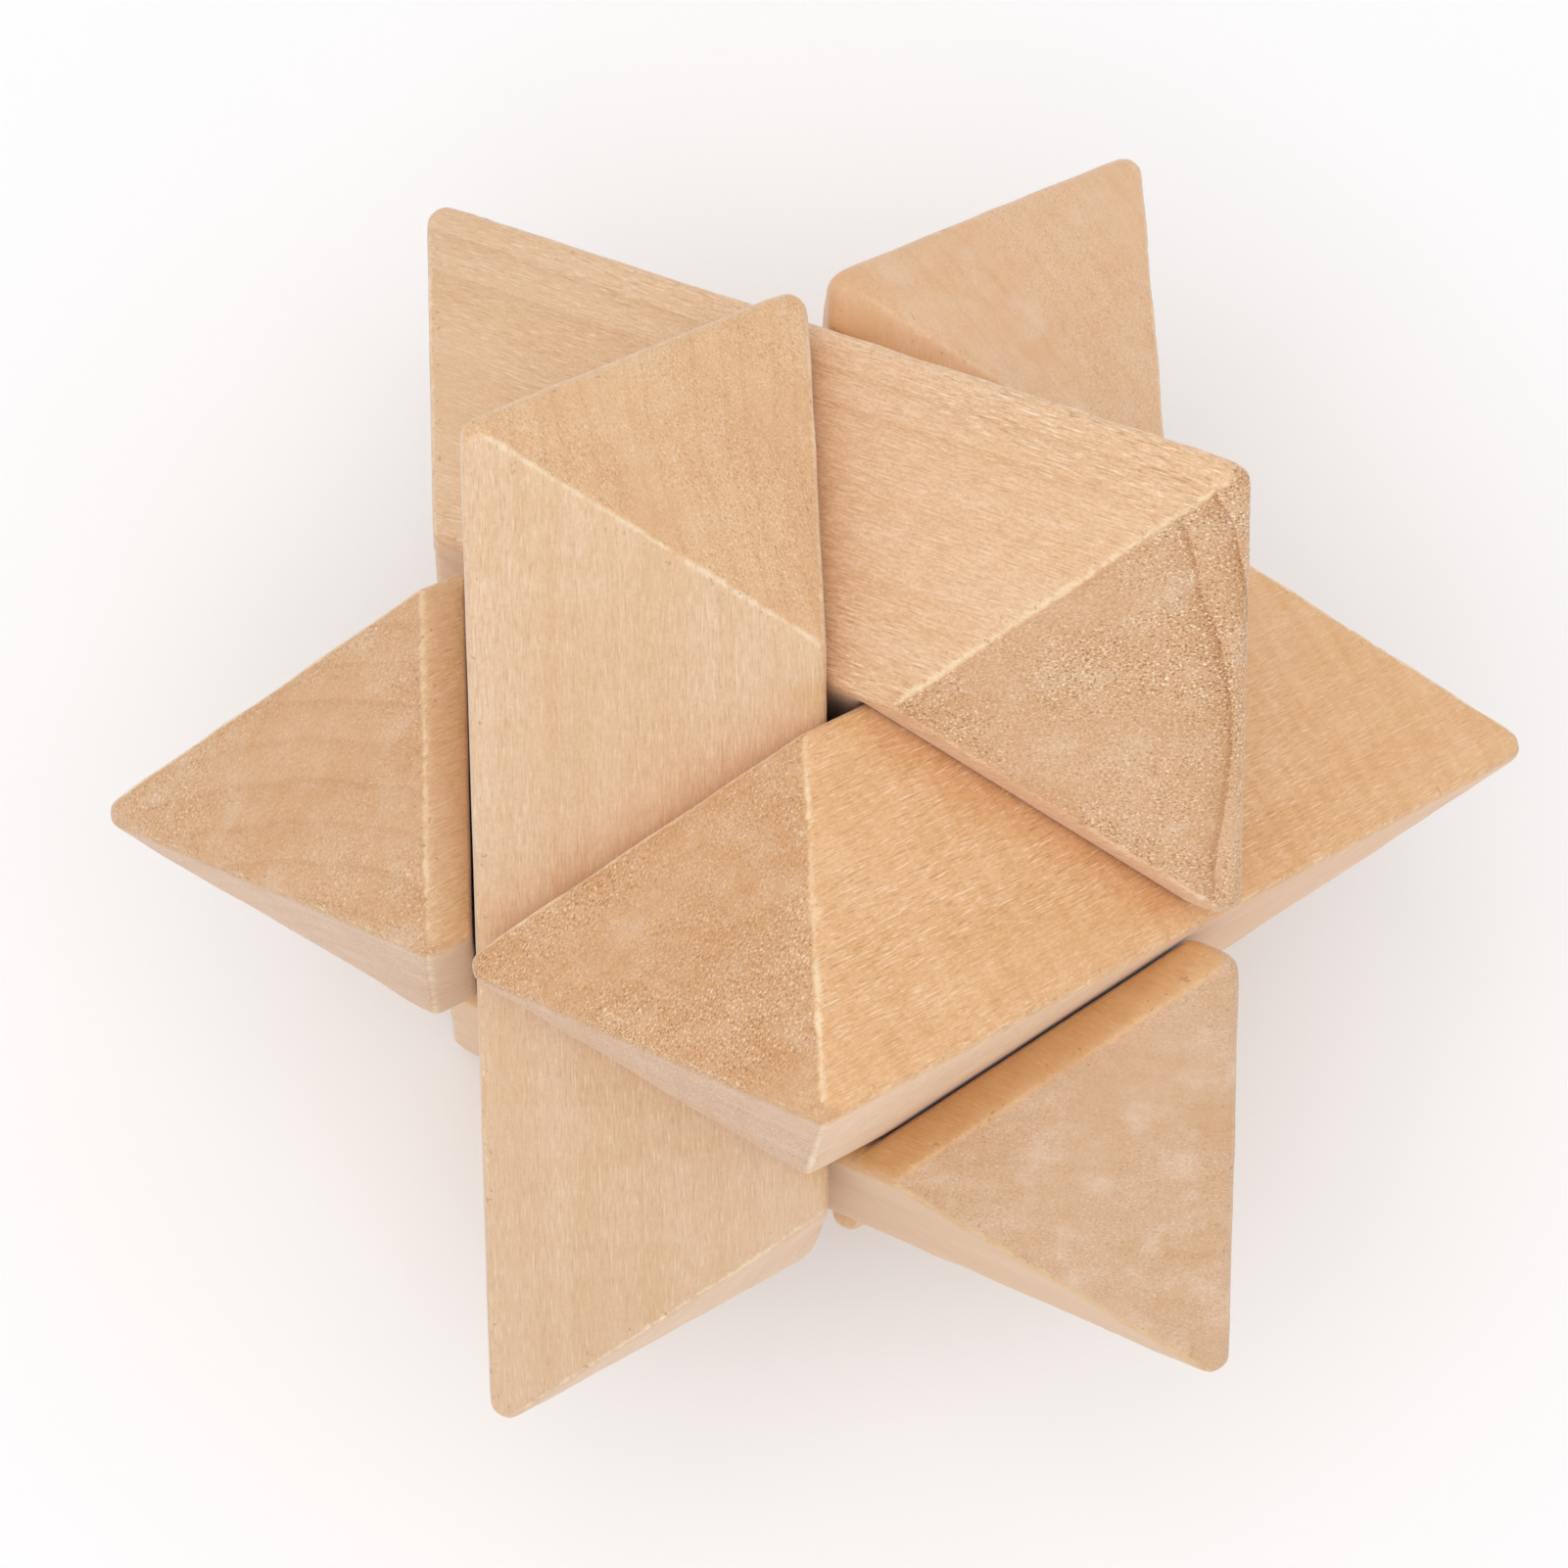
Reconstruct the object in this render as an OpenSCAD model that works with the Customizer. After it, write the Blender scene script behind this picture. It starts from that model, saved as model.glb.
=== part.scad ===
// Six-piece diagonal star burr: six identical notched square bars that lock together into a star.
// The star stands on the tips of its three lower bars, with one of its four body diagonals upright.
// The origin is on the floor, under the star's centre, and +Z is that upright diagonal.

/* [Bar] */
// Side of the square stock that each bar is cut from, mm
stock = 20; // [18:0.5:21]
// Length of a bar from one end ridge to the other, mm
bar_length = 64; // [62:1:72]
// Distance from the star's centre to the middle line of each bar, mm
axis_offset = 15; // [15:0.1:17]

/* [Fit and edges] */
// Clearance square to each notch face, mm
notch_gap = 0.15; // [0.05:0.05:0.4]
// Depth taken off the long edges and the end ridges by easing, mm
edge_ease = 0.25; // [0.1:0.05:0.5]
// Depth taken off each tip by easing, mm
tip_ease = 1.1; // [0.8:0.1:1.6]

/* [Hidden] */

// The bars lie on their corners, so half the section's diagonal is their reach to each side.
half_diagonal = stock / sqrt(2);
half_length = bar_length / 2;
// The two ends slope at 45 degrees from the ridge, which lies level with the bar's middle line.
shoulder = half_length - half_diagonal;
// A notch is a right-angled vee whose bottom clears the side corner of the bar that lies in it.
notch_bottom = half_diagonal + notch_gap * sqrt(2);
// Angle between the upright diagonal and the star's own third axis.
tilt = acos(1 / sqrt(3));
// Height of the centre when the lowest corners of three eased tips touch the floor.
centre_height = (half_length + axis_offset + half_diagonal - tip_ease / sqrt(2)) / sqrt(3);

// The square section on its corner, with its four corners eased flat.
module section() {
    intersection() {
        rotate(45) square(stock, center = true);
        square(2 * (half_diagonal - edge_ease), center = true);
    }
}

// The bar's outline from the side, with a gable at each end and the ridges eased flat.
module gable_outline() {
    ridge = half_length - edge_ease;
    polygon([
        for (end = [1, -1])
            for (p = [[shoulder, -half_diagonal], [ridge, -edge_ease],
                      [ridge, edge_ease], [shoulder, half_diagonal]])
                end * p
    ]);
}

// The bar's outline from above, with its four tips cut back square to their own direction.
module tip_outline() {
    cut = tip_ease * sqrt(2);
    polygon([
        for (end = [1, -1])
            for (p = [[half_length, cut - half_diagonal], [half_length, half_diagonal - cut],
                      [half_length - cut, half_diagonal], [cut - half_length, half_diagonal]])
                end * p
    ]);
}

// Room for one crossing bar, open towards the star's centre.
module notch(side) {
    translate([side * axis_offset, notch_bottom, 0])
        rotate(-135)
            linear_extrude(2 * stock, center = true)
                square(2 * stock);
}

// One bar in the star's own axes: along X, on the +Y side of the centre.
module bar() {
    difference() {
        translate([0, axis_offset, 0])
            intersection() {
                rotate([90, 0, 90]) linear_extrude(bar_length, center = true) section();
                rotate([90, 0, 0]) linear_extrude(2 * stock, center = true) gable_outline();
                linear_extrude(2 * stock, center = true) tip_outline();
            }
        for (side = [-1, 1])
            notch(side);
    }
}

// A bar's place in the standing star: third is how many thirds of a turn it has about the upright
// diagonal, and half_turn is 180 for the bars on the lower side of the centre.
module placed_bar(third, half_turn) {
    translate([0, 0, centre_height])
        rotate([-tilt, 0, 0])
            rotate([0, 0, -135])
                rotate(a = 120 * third, v = [1, 1, 1])
                    rotate([0, 0, half_turn])
                        bar();
}

module upper_bar_a() { color([0.89, 0.74, 0.58]) placed_bar(0, 0); }
module upper_bar_b() { color([0.91, 0.76, 0.60]) placed_bar(1, 0); }
module upper_bar_c() { color([0.90, 0.77, 0.63]) placed_bar(2, 0); }
module lower_bar_a() { color([0.87, 0.71, 0.54]) placed_bar(0, 180); }
module lower_bar_b() { color([0.88, 0.73, 0.58]) placed_bar(1, 180); }
module lower_bar_c() { color([0.90, 0.75, 0.60]) placed_bar(2, 180); }

upper_bar_a();
upper_bar_b();
upper_bar_c();
lower_bar_a();
lower_bar_b();
lower_bar_c();
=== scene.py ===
"""A six-piece diagonal star burr in bare pale hardwood, standing on three of its tips."""

import math

import bmesh
import bpy
from mathutils import Matrix, Vector, noise


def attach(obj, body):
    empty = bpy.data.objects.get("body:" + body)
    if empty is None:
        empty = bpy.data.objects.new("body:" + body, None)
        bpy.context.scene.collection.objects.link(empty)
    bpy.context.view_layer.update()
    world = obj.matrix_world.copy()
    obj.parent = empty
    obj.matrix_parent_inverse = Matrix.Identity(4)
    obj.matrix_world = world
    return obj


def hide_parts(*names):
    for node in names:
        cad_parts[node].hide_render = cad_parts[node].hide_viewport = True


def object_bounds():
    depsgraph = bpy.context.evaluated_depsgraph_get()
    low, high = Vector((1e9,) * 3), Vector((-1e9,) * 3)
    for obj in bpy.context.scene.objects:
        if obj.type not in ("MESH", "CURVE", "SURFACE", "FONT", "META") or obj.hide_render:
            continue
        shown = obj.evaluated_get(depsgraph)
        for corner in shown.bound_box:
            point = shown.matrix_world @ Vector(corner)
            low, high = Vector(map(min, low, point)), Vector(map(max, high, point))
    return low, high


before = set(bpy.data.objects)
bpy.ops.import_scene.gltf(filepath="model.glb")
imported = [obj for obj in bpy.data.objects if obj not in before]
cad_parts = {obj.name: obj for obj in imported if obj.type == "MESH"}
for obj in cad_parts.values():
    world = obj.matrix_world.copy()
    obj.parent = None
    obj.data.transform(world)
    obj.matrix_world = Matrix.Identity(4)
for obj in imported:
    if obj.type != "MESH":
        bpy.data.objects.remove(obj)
cad_low, cad_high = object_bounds()

MM = 0.001

# The bars, in millimetres: square stock on its corner, cut to a gable at both ends.
STOCK = 20.0
BAR_LENGTH = 64.0
AXIS_OFFSET = 15.0
NOTCH_GAP = 0.15
HALF_DIAGONAL = STOCK / math.sqrt(2)

# Each bar's third of a turn about the upright diagonal, and its half turn below the star's centre.
BARS = {
    "upper_bar_a": (0, 0),
    "upper_bar_b": (1, 0),
    "upper_bar_c": (2, 0),
    "lower_bar_a": (0, 180),
    "lower_bar_b": (1, 180),
    "lower_bar_c": (2, 180),
}

STAR_CENTRE = (cad_low + cad_high) / 2

# The upright diagonal leans this far from the star's own third axis, and the stock's faces from its corners.
TILT = math.acos(1 / math.sqrt(3))
CORNER_TO_FACE = math.radians(45)

# The size of the even faces, the sanding passes all over, and how far each pass at the tips alone reaches.
FACE_SIZE = 0.27
SANDING_PASSES = 4
TIP_PASSES = (3.0, 2.8, 2.6, 2.4, 2.2, 2.0, 1.8, 1.6, 1.5, 1.4, 1.3, 1.2)

# What sanding leaves uneven: waves all over, and worn stretches and nicks within EDGE_REACH of an edge.
# Each has a depth in millimetres, its waves per millimetre, and a shift in or out.
EDGE_REACH = 1.1
WAVES = (0.02, 0.2, -0.9)
WORN_STRETCHES = (0.13, 0.35, -0.35)
NICKS = (0.18, 1.8, 0.30)
# How far apart in the noise the bars are taken, in millimetres, so that each has its own marks.
APART = 17.0


# ---------------------------------------------------------------- placing

def bar_axes(name):
    """Turns a bar's own axes (X along it, +Y outward from the star's centre) into the star's place."""
    third, half_turn = BARS[name]
    upright = Matrix.Rotation(-TILT, 4, "X") @ Matrix.Rotation(math.radians(-135), 4, "Z")
    about_diagonal = Matrix.Rotation(math.radians(120 * third), 4, Vector((1, 1, 1)))
    return upright @ about_diagonal @ Matrix.Rotation(math.radians(half_turn), 4, "Z")


def bar_place(name):
    """From millimetres in a bar's own axes to metres in the row's frame."""
    return Matrix.Translation(STAR_CENTRE) @ bar_axes(name) @ Matrix.Scale(MM, 4)


# ---------------------------------------------------------------- the bars

def sharp_bar(name):
    """The bar as it comes off the saw, in millimetres, on its own axes with two faces level."""
    bm = bmesh.new()
    bm.from_mesh(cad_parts[name].data)
    bmesh.ops.remove_doubles(bm, verts=bm.verts, dist=1e-6)
    level = Matrix.Rotation(CORNER_TO_FACE, 4, "X") @ bar_place(name).inverted()
    bmesh.ops.transform(bm, matrix=level, verts=bm.verts)
    mesh = bpy.data.meshes.new(name + "_sawn")
    bm.to_mesh(mesh)
    bm.free()
    return mesh


def even_mesh(mesh):
    """The same solid with small even faces, so that it can be sanded."""
    blank = bpy.data.objects.new("blank", mesh)
    bpy.context.scene.collection.objects.link(blank)
    remesh = blank.modifiers.new("even", "REMESH")
    remesh.mode = "VOXEL"
    remesh.voxel_size = FACE_SIZE
    bpy.context.view_layer.update()
    evaluated = blank.evaluated_get(bpy.context.evaluated_depsgraph_get())
    even = bpy.data.meshes.new_from_object(evaluated)
    bpy.data.objects.remove(blank)
    return even


def edge_distance(point):
    """Distance in millimetres from a point on a bar, in its own axes, to the bar's nearest sharp edge."""
    half = STOCK / 2
    along, out, across = abs(point.x), point.y - AXIS_OFFSET, point.z
    sides = sorted(half - abs(out + z) / math.sqrt(2) for z in (across, -across))
    ends = sorted((BAR_LENGTH / 2 - along + z) / math.sqrt(2) for z in (across, -across))
    return min(max(sides[0], ends[0]), min(sides[1], ends[1]))


def tip_distance(point):
    """Distance in millimetres from a point on a bar, in its own axes, to the bar's nearest tip."""
    return math.dist((abs(point.x), abs(point.y - AXIS_OFFSET), point.z), (BAR_LENGTH / 2, HALF_DIAGONAL, 0))


def smooth(bm, verts):
    bmesh.ops.smooth_vert(bm, verts=verts, factor=0.5, use_axis_x=True, use_axis_y=True, use_axis_z=True)


def unevenness(place, depth, rate, shift):
    """How far out the surface stands at a place, in millimetres."""
    return depth * (noise.noise(place * rate) + shift)


def sand(bm, name):
    """Rounds the edges and tips, then leaves the slight waves and nicks of hand sanding."""
    for _ in range(SANDING_PASSES):
        smooth(bm, bm.verts)
    bmesh.ops.transform(bm, matrix=Matrix.Rotation(-CORNER_TO_FACE, 4, "X"), verts=bm.verts)
    for reach in TIP_PASSES:
        smooth(bm, [vert for vert in bm.verts if tip_distance(vert.co) < reach])
    bm.normal_update()
    start = Vector((APART * (1 + list(BARS).index(name)), 0, 0))
    for vert in bm.verts:
        place = vert.co + start
        near_edge = max(0.0, 1 - edge_distance(vert.co) / EDGE_REACH)
        at_edge = unevenness(place, *WORN_STRETCHES) + min(0.0, unevenness(place, *NICKS))
        vert.co += vert.normal * (unevenness(place, *WAVES) + near_edge * at_edge)


def make_bar(name):
    even = even_mesh(sharp_bar(name))
    bm = bmesh.new()
    bm.from_mesh(even)
    sand(bm, name)
    bmesh.ops.transform(bm, matrix=bar_place(name), verts=bm.verts)
    for face in bm.faces:
        face.smooth = True
    bm.to_mesh(even)
    bm.free()
    even.name = name + "_wood"
    bar = bpy.data.objects.new(name + "_wood", even)
    bpy.context.scene.collection.objects.link(bar)
    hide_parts(name)
    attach(bar, name)
    return bar


# ---------------------------------------------------------------- node helpers

FLOAT, COLOUR, VECTOR = "NodeSocketFloat", "NodeSocketColor", "NodeSocketVector"


class Nodes:
    """Adds nodes to one tree and joins them. A value is a socket to link from, or a plain setting."""

    def __init__(self, tree):
        self.tree = tree

    def put(self, socket, value):
        if isinstance(value, bpy.types.NodeSocket):
            self.tree.links.new(value, socket)
        else:
            socket.default_value = value

    def add(self, kind, inputs=(), **settings):
        node = self.tree.nodes.new(kind)
        for name, value in settings.items():
            setattr(node, name, value)
        for name, value in dict(inputs).items():
            self.put(node.inputs[name], value)
        return node

    def math(self, operation, *values):
        return self.add("ShaderNodeMath", enumerate(values), operation=operation).outputs[0]

    def vector(self, operation, *values):
        return self.add("ShaderNodeVectorMath", enumerate(values), operation=operation).outputs[0]

    def ramp(self, value, low, high, to_low=0.0, to_high=1.0):
        """A smooth step from to_low at low to to_high at high."""
        inputs = {"Value": value, "From Min": low, "From Max": high, "To Min": to_low, "To Max": to_high}
        return self.add("ShaderNodeMapRange", inputs, interpolation_type="SMOOTHSTEP").outputs["Result"]

    def mix(self, share, first, second, blend="MIX"):
        inputs = {0: share, 6: first, 7: second}
        return self.add("ShaderNodeMix", inputs, data_type="RGBA", blend_type=blend).outputs[2]

    def stain_and_shade(self, share, tone, stain_and_shade):
        """Multiplies a tone by a darker one where the share is 1, for real stains and for painted shade
        alike.
        """
        return self.mix(share, tone, self.mix(1.0, tone, stain_and_shade, "MULTIPLY"))

    def noise(self, place, scale, detail, roughness):
        """Soft noise from 0 to 1, stretched by scale, in waves per millimetre along each axis."""
        inputs = {"Vector": self.vector("MULTIPLY", place, scale), "Scale": 1.0, "Detail": detail,
                  "Roughness": roughness}
        return self.add("ShaderNodeTexNoise", inputs).outputs["Fac"]


def new_group(name, inputs, outputs):
    """An empty shader node group. Inputs map a name to (kind, default), outputs to a kind."""
    group = bpy.data.node_groups.new(name, "ShaderNodeTree")
    for label, (kind, default) in inputs.items():
        group.interface.new_socket(label, in_out="INPUT", socket_type=kind).default_value = default
    for label, kind in outputs.items():
        group.interface.new_socket(label, in_out="OUTPUT", socket_type=kind)
    nodes = Nodes(group)
    return group, nodes, nodes.add("NodeGroupInput").outputs, nodes.add("NodeGroupOutput").inputs


# ---------------------------------------------------------------- the wood

# The noises in the wood: waves per millimetre along X, Y and Z, then detail and roughness.
NOISES = {
    "waver": ((1.5, 1.5, 1.5), 2.0, 0.5),
    "cloud": ((0.05, 0.19, 0.19), 3.0, 0.5),
    "streak": ((0.03, 1.0, 1.0), 4.0, 0.62),
    "band": ((1.1, 0.16, 0.16), 2.0, 0.5),
    "wander": ((0.02, 0.12, 0.12), 2.0, 0.5),
    "patch": ((0.04, 0.11, 0.11), 3.0, 0.5),
    "bleach": ((0.3, 0.38, 0.38), 4.0, 0.6),
    "fibre": ((0.95, 10.0, 10.0), 2.0, 0.5),
    "vessel": ((2.0, 8.2, 8.2), 1.0, 0.5),
    "weft": ((4.0, 5.0, 5.0), 2.0, 0.6),
    "fray": ((1.6, 1.6, 1.6), 5.0, 0.7),
    "nick": ((2.4, 2.4, 2.4), 2.0, 0.5),
    "cutter": ((2.6, 2.6, 0.06), 3.0, 0.7),
}

# Stains and a painted shade multiply the wood's tone, and bare tones take its place.
PALE_STAIN, WARM_STAIN = (1.05, 1.09, 1.14, 1), (0.95, 0.89, 0.78, 1)
RING_STAIN = (0.76, 0.63, 0.48, 1)
PORE_STAIN = (0.50, 0.38, 0.25, 1)
DARK_WEAVE, PALE_WEAVE = (0.92, 0.90, 0.86, 1), (1.08, 1.10, 1.14, 1)
# The darker, warmer tone of the shade painted beside the joints, where the bars shade each other.
PAINTED_JOINT_SHADE = (0.92, 0.84, 0.64, 1)
SCORCH_STAIN = (0.74, 0.60, 0.45, 1)
BLEACHED = (0.84, 0.65, 0.50, 1)
PALE_FLECK = (0.98, 0.83, 0.64, 1)
FRAYED_EDGE = (0.94, 0.78, 0.54, 1)
DARK_NICK = (0.42, 0.23, 0.10, 1)


def bar_edges_group():
    """How far a point on a bar lies from the bar's nearest edge, nearest side face and nearest notch face."""
    group, n, given, out = new_group("bar edges", {"Place": (VECTOR, (0, 0, 0))},
                                     {"Edge": FLOAT, "Side": FLOAT, "Notch": FLOAT})
    axes = n.add("ShaderNodeSeparateXYZ", {"Vector": given["Place"]}).outputs
    root = 1 / math.sqrt(2)
    outward = n.math("SUBTRACT", axes["Y"], AXIS_OFFSET)

    def inside_side(sign):
        level = n.math("ABSOLUTE", n.math("MULTIPLY_ADD", axes["Z"], sign, outward))
        return n.math("MULTIPLY_ADD", level, -root, STOCK / 2)

    def inside_end(sign):
        reach = n.math("MULTIPLY_ADD", axes["Z"], sign, n.math("ABSOLUTE", axes["X"]))
        return n.math("MULTIPLY_ADD", reach, -root, BAR_LENGTH / 2 * root)

    def sort(first, second):
        return n.math("MINIMUM", first, second), n.math("MAXIMUM", first, second)

    side_near, side_far = sort(inside_side(1.0), inside_side(-1.0))
    end_near, end_far = sort(inside_end(1.0), inside_end(-1.0))
    side_meets_end, same_kind = n.math("MAXIMUM", side_near, end_near), n.math("MINIMUM", side_far, end_far)
    n.put(out["Edge"], n.math("MINIMUM", side_meets_end, same_kind))
    n.put(out["Side"], side_near)

    notch_bottom = HALF_DIAGONAL + NOTCH_GAP / root
    flank = n.math("ABSOLUTE", n.math("SUBTRACT", n.math("ABSOLUTE", axes["X"]), AXIS_OFFSET))
    rise = n.math("ADD", flank, n.math("SUBTRACT", axes["Y"], notch_bottom))
    n.put(out["Notch"], n.math("MULTIPLY", rise, root))
    return group


def wood_group(edges):
    """Sanded fine-pored hardwood on a bar, with its lengths in millimetres."""
    group, n, given, out = new_group(
        "bare hardwood",
        {
            "Place": (VECTOR, (0, 0, 0)),
            "Pith": (VECTOR, (0, 0, 0)),
            "Along": (COLOUR, (0.8, 0.6, 0.4, 1)),
            "Across": (COLOUR, (0.7, 0.4, 0.2, 1)),
            "Drift": (FLOAT, 0.0),
            "Pores": (FLOAT, 0.5),
            "Pore Fade": (FLOAT, 0.0),
            "Bands": (FLOAT, 0.3),
            "Rings": (FLOAT, 0.5),
            "Ring Width": (FLOAT, 4.0),
            # How deep the shade painted beside the joints is.
            "Joint Shade": (FLOAT, 0.5),
            "Patches": (FLOAT, 0.5),
            "Wear": (FLOAT, 0.5),
        },
        {"Color": COLOUR, "Roughness": FLOAT, "Height": FLOAT},
    )
    near = n.add("ShaderNodeGroup", {"Place": given["Place"]}, node_tree=edges)
    edge, side, notch = (near.outputs[name] for name in ("Edge", "Side", "Notch"))
    log = n.vector("SUBTRACT", given["Place"], given["Pith"])

    def grain(name, place=log):
        return n.noise(place, *NOISES[name])

    # Where the saw cut across the grain: the gables and the notch faces.
    across = n.ramp(n.math("MULTIPLY_ADD", grain("waver"), -0.3, side), 0.0, 0.2)
    # The board is a little darker and closer-pored towards one of the bar's ends.
    lengthwise = n.add("ShaderNodeSeparateXYZ", {"Vector": given["Place"]}).outputs["X"]
    lengthwise = n.math("DIVIDE", lengthwise, BAR_LENGTH / 2)
    drift = n.math("MULTIPLY_ADD", lengthwise, given["Drift"], 1.0)
    fade = n.math("MULTIPLY", n.ramp(lengthwise, 0.1, -0.9), given["Pore Fade"])
    pores = n.math("MULTIPLY", n.math("SUBTRACT", 1.0, fade), given["Pores"])
    tone = n.mix(across, n.mix(1.0, given["Along"], drift, "MULTIPLY"), given["Across"])

    # Broad clouds, long streaks, and bands square to the grain, from pale to warm.
    cloud = grain("cloud")
    warmth = n.math("MULTIPLY_ADD", cloud, 1.5, -0.8)
    warmth = n.math("MULTIPLY_ADD", grain("streak"), 1.1, warmth)
    band = n.math("MULTIPLY", n.math("SUBTRACT", grain("band"), 0.5), given["Bands"])
    warmth = n.math("MULTIPLY_ADD", band, 2.6, warmth)
    tone = n.mix(1.0, tone, n.mix(warmth, PALE_STAIN, WARM_STAIN), "MULTIPLY")

    # Growth rings round the pith, each ending in a thin darker line, with a fainter one just before it.
    section = n.vector("MULTIPLY", log, (0, 1, 1))
    radius = n.add("ShaderNodeVectorMath", {0: section}, operation="LENGTH").outputs["Value"]
    radius = n.math("MULTIPLY_ADD", grain("wander"), 1.6, n.math("ADD", radius, -0.8))
    ring = n.math("FRACT", n.math("DIVIDE", radius, given["Ring Width"]))
    gap = n.math("MULTIPLY", n.math("SUBTRACT", 1.0, ring), given["Ring Width"])
    late = n.math("MULTIPLY_ADD", n.ramp(gap, 0.4, 0.2), 0.5, n.ramp(gap, 1.3, 0.1, 0.0, 0.5))
    late = n.math("MULTIPLY", late, n.ramp(gap, 0.0, 0.06))
    early = n.math("MULTIPLY_ADD", n.ramp(gap, 2.2, 2.0), 0.5, n.ramp(gap, 3.2, 1.9, 0.0, 0.5))
    early = n.math("MULTIPLY", early, n.ramp(gap, 1.80, 1.86))
    lines = n.math("MULTIPLY", n.math("MULTIPLY_ADD", early, 0.8, late), given["Rings"])
    lines = n.math("MULTIPLY", lines, n.math("MULTIPLY_ADD", across, 0.7, 0.3))
    tone = n.stain_and_shade(lines, tone, RING_STAIN)

    # Paler patches where the wood is cut across the grain.
    bleach = n.math("MULTIPLY", n.ramp(grain("bleach"), 0.46, 0.74), given["Patches"])
    tone = n.mix(n.math("MULTIPLY", across, bleach), tone, BLEACHED)

    # Fine fibres along the grain, and open pores where it is cut across, in rougher and smoother patches.
    fibre = grain("fibre")
    speck = n.add("ShaderNodeMix", {0: across, 2: fibre, 3: grain("vessel")}, data_type="FLOAT").outputs[0]
    patch = n.ramp(grain("patch"), 0.36, 0.60)
    reach = n.math("MULTIPLY", pores, n.math("MULTIPLY_ADD", patch, 0.7, 0.3))
    depth = n.math("MULTIPLY", reach, n.math("MULTIPLY_ADD", across, 0.3, 0.7))
    pore = n.math("MULTIPLY", depth, n.ramp(across, 0, 1, 0.6, 0.9))
    pore = n.math("MULTIPLY", n.ramp(speck, 0.43, 0.31), pore)
    tone = n.stain_and_shade(pore, tone, PORE_STAIN)
    fleck = n.math("MULTIPLY", n.ramp(speck, 0.58, 0.70), depth)
    tone = n.mix(n.math("MULTIPLY", fleck, 0.75), tone, PALE_FLECK)

    # A faint cross-weave of broken fibres all over.
    weave = n.math("ADD", n.math("SUBTRACT", fibre, 0.5), n.math("SUBTRACT", grain("weft"), 0.5))
    woven = n.mix(n.ramp(weave, -0.25, 0.25), DARK_WEAVE, PALE_WEAVE)
    tone = n.mix(pores, tone, woven, "MULTIPLY")

    # Painted shade: the wood is darkened and warmed beside the joints, where the bars shade each other.
    joint_shade = n.math("MULTIPLY", n.ramp(notch, 2.3, 0.2), given["Joint Shade"])
    tone = n.stain_and_shade(joint_shade, tone, PAINTED_JOINT_SHADE)

    # Worn edges show a frayed cream line, broken up by tiny dark nicks.
    fray = grain("fray")
    wear = n.math("MULTIPLY", n.math("MULTIPLY_ADD", cloud, 1.2, -0.05), given["Wear"])
    worn = n.math("MULTIPLY", n.ramp(n.math("MULTIPLY_ADD", fray, 0.8, edge), 0.72, 0.46), wear)
    tone = n.mix(worn, tone, FRAYED_EDGE)
    nick = n.math("MULTIPLY", n.ramp(grain("nick"), 0.34, 0.26), n.ramp(edge, 1.3, 0.5))
    tone = n.mix(n.math("MULTIPLY", nick, 0.5), tone, DARK_NICK)

    # The cutter left fine lines along the notches, a little scorched in places.
    in_notch = n.ramp(notch, 0.35, 0.15)
    cut = grain("cutter", given["Place"])
    scorch = n.math("MULTIPLY_ADD", cut, 0.6, n.math("MULTIPLY", cloud, 0.4))
    scorch = n.math("MULTIPLY", in_notch, n.ramp(scorch, 0.46, 0.66))
    tone = n.stain_and_shade(n.math("MULTIPLY", scorch, 0.6), tone, SCORCH_STAIN)

    height = n.math("MULTIPLY_ADD", speck, depth, n.math("MULTIPLY", fray, worn))
    height = n.math("MULTIPLY_ADD", nick, -0.8, height)
    height = n.math("MULTIPLY_ADD", n.math("MULTIPLY", cut, in_notch), 2.0, height)
    n.put(out["Color"], tone)
    n.put(out["Height"], height)
    n.put(out["Roughness"], n.math("MULTIPLY_ADD", fibre, 0.20, 0.48))
    return group
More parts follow.
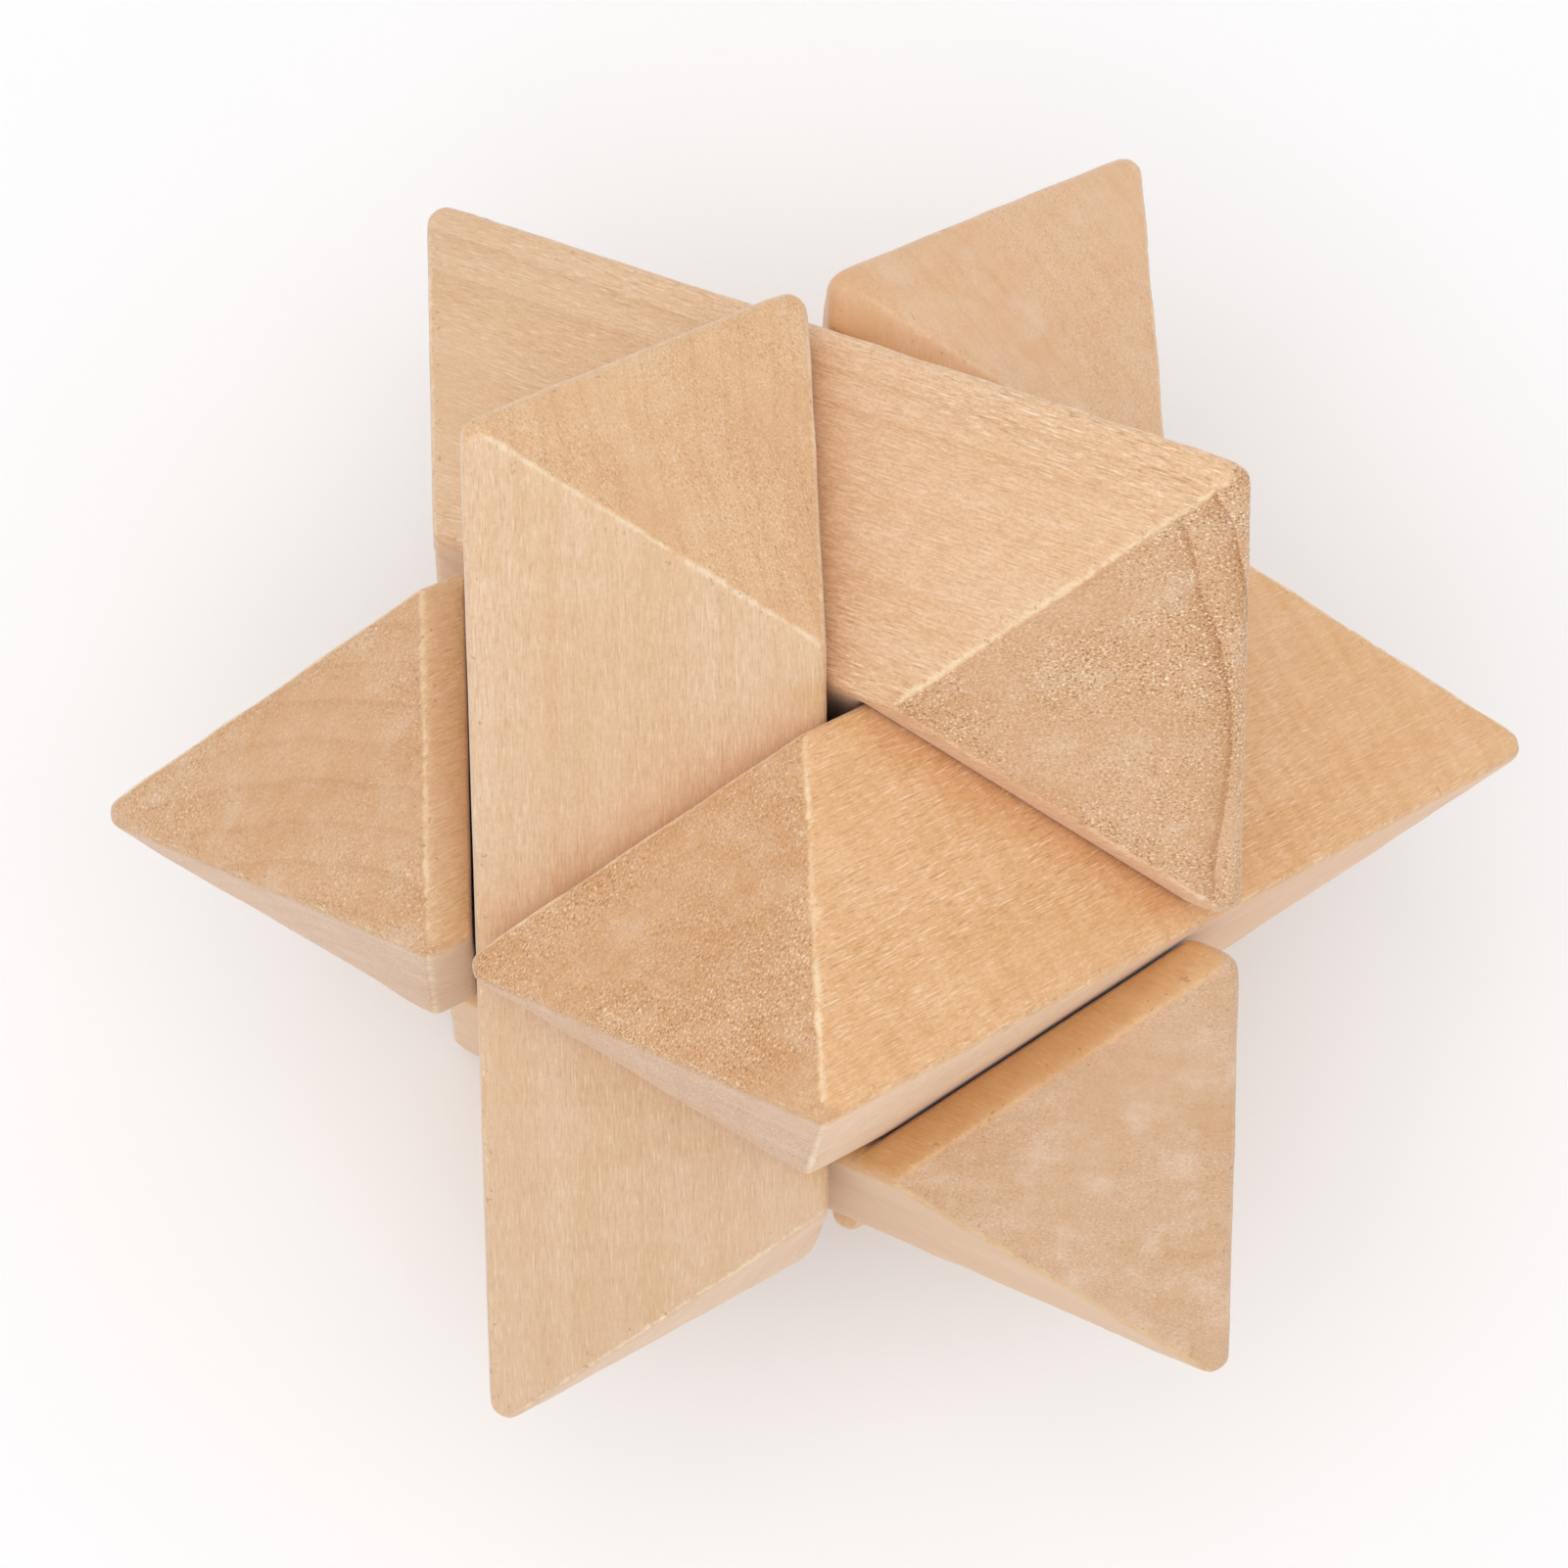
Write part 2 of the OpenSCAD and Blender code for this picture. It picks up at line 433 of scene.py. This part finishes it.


# Each bar was sawn from a different board: where its pith lay, its tones along and across the grain,
# how strongly its marks show, and how wide its rings are. Each bar also sets how deep the shade painted
# beside its joints is. These are the wood group's inputs, and one that a board leaves out stays at the
# group's own value.
BOARDS = {
    "upper_bar_a": {
        "Pith": (11, 46, -32), "Along": (0.779, 0.460, 0.230, 1), "Across": (0.653, 0.371, 0.183, 1),
        "Drift": 0.02, "Pores": 0.8, "Pore Fade": 0.55, "Bands": 0.7, "Rings": 0.15, "Ring Width": 3.4,
        "Joint Shade": 1.0, "Patches": 0.2, "Wear": 1.1,
    },
    "upper_bar_b": {
        "Pith": (-230, 10.2, 60.7), "Along": (0.766, 0.502, 0.307, 1), "Across": (0.657, 0.398, 0.222, 1),
        "Drift": 0.062, "Pores": 1.0, "Pore Fade": 0.55, "Bands": 0.1, "Rings": 1.0, "Ring Width": 20.6,
        "Joint Shade": 0.1, "Patches": 0.3, "Wear": 0.9,
    },
    "upper_bar_c": {
        "Pith": (170, -34, 41), "Along": (0.737, 0.506, 0.328, 1), "Across": (0.755, 0.470, 0.256, 1),
        "Drift": 0.055, "Pores": 0.55, "Pore Fade": 0.4, "Bands": 0.2, "Rings": 0.2, "Ring Width": 2.9,
        "Joint Shade": 0.9, "Patches": 0.15, "Wear": 1.1,
    },
    "lower_bar_a": {
        "Pith": (-90, 5, -37), "Along": (0.755, 0.510, 0.310, 1), "Across": (0.655, 0.392, 0.214, 1),
        "Pores": 0.6, "Bands": 0.2, "Rings": 0.25, "Ring Width": 3.6, "Joint Shade": 0.5, "Patches": 0.25,
        "Wear": 1.0,
    },
    "lower_bar_b": {
        "Pith": (310, 45, 9), "Along": (0.717, 0.439, 0.221, 1), "Across": (0.658, 0.420, 0.260, 1),
        "Pores": 0.3, "Bands": 0.3, "Rings": 0.08, "Ring Width": 3.1, "Joint Shade": 0.5, "Patches": 0.40,
        "Wear": 0.4,
    },
    "lower_bar_c": {
        "Pith": (60, -35, 17), "Along": (0.760, 0.490, 0.298, 1), "Across": (0.752, 0.473, 0.281, 1),
        "Pores": 0.3, "Bands": 0.2, "Rings": 0.12, "Ring Width": 3.8, "Joint Shade": 0.5, "Patches": 0.3,
        "Wear": 0.5,
    },
}

# Depth in metres of the marks that are too fine for the mesh.
BUMP_DEPTH = 0.00006


def bar_material(name, wood):
    material = bpy.data.materials.new("hardwood " + name.replace("_", " "))
    material.use_nodes = True
    material.node_tree.nodes.clear()
    n = Nodes(material.node_tree)
    place = n.add("ShaderNodeTexCoord").outputs["Object"]
    on_bar = n.add("ShaderNodeMapping", {"Vector": place, "Location": STAR_CENTRE, "Scale": (MM, MM, MM),
                                         "Rotation": bar_axes(name).to_euler()}, vector_type="TEXTURE")
    grain = n.add("ShaderNodeGroup", {"Place": on_bar.outputs[0], **BOARDS[name]}, node_tree=wood)
    bump = n.add("ShaderNodeBump", {"Height": grain.outputs["Height"], "Strength": 0.6,
                                    "Distance": BUMP_DEPTH})
    surface = n.add("ShaderNodeBsdfPrincipled", {"Base Color": grain.outputs["Color"],
                                                 "Roughness": grain.outputs["Roughness"],
                                                 "Normal": bump.outputs["Normal"], "Specular IOR Level": 0.4,
                                                 "Sheen Weight": 0.35, "Sheen Roughness": 0.4})
    n.add("ShaderNodeOutputMaterial", {"Surface": surface.outputs[0]})
    return material


# ---------------------------------------------------------------- the studio

# Half the floor's side, in metres.
FLOOR_REACH = 2.0
FLOOR_COLOUR = (0.96, 0.96, 0.96, 1)
SKY_COLOUR, SKY_STRENGTH = (0.97, 0.98, 1.0, 1), 0.85
# The soft box overhead: its place and the side of its square in metres, and its power in watts.
LAMP_PLACE, LAMP_SIDE, LAMP_POWER = (-0.10, -0.10, 0.80), 0.6, 1.8
# The camera's place from the star's centre in millimetres, its turn in degrees, and its lens in millimetres.
CAMERA_PLACE, CAMERA_TURN, CAMERA_LENS = (-17.1, -66.3, 379.2), (9.95, -1.92, -1.89), 148.8


def make_floor():
    bm = bmesh.new()
    bmesh.ops.create_grid(bm, x_segments=1, y_segments=1, size=FLOOR_REACH)
    mesh = bpy.data.meshes.new("floor")
    bm.to_mesh(mesh)
    bm.free()
    floor = bpy.data.objects.new("floor", mesh)
    bpy.context.scene.collection.objects.link(floor)
    material = bpy.data.materials.new("pale floor")
    material.use_nodes = True
    shader = material.node_tree.nodes["Principled BSDF"]
    shader.inputs["Base Color"].default_value = FLOOR_COLOUR
    shader.inputs["Roughness"].default_value = 0.8
    shader.inputs["Specular IOR Level"].default_value = 0.1
    mesh.materials.append(material)


def make_lamp():
    """A square soft box that looks at the star's centre."""
    lamp = bpy.data.lights.new("overhead", "AREA")
    lamp.size = LAMP_SIDE
    lamp.energy = LAMP_POWER
    light = bpy.data.objects.new("overhead", lamp)
    light.location = LAMP_PLACE
    light.rotation_euler = (STAR_CENTRE - Vector(LAMP_PLACE)).to_track_quat("-Z", "Y").to_euler()
    bpy.context.scene.collection.objects.link(light)


def make_studio():
    world = bpy.data.worlds.new("studio")
    world.use_nodes = True
    background = world.node_tree.nodes["Background"]
    background.inputs["Color"].default_value = SKY_COLOUR
    background.inputs["Strength"].default_value = SKY_STRENGTH
    bpy.context.scene.world = world
    make_lamp()
    bpy.context.scene.view_settings.view_transform = "Standard"
    bpy.context.scene.view_settings.look = "None"


def make_camera():
    """Looks down on the star from a little to the front and left, through a long lens."""
    lens = bpy.data.cameras.new("camera")
    lens.lens = CAMERA_LENS
    camera = bpy.data.objects.new("camera", lens)
    camera.location = STAR_CENTRE + Vector(CAMERA_PLACE) * MM
    camera.rotation_euler = [math.radians(angle) for angle in CAMERA_TURN]
    bpy.context.scene.collection.objects.link(camera)
    bpy.context.scene.camera = camera


# ---------------------------------------------------------------- putting it together

make_camera()
make_studio()
make_floor()
hardwood = wood_group(bar_edges_group())
for bar_name in BARS:
    make_bar(bar_name).data.materials.append(bar_material(bar_name, hardwood))
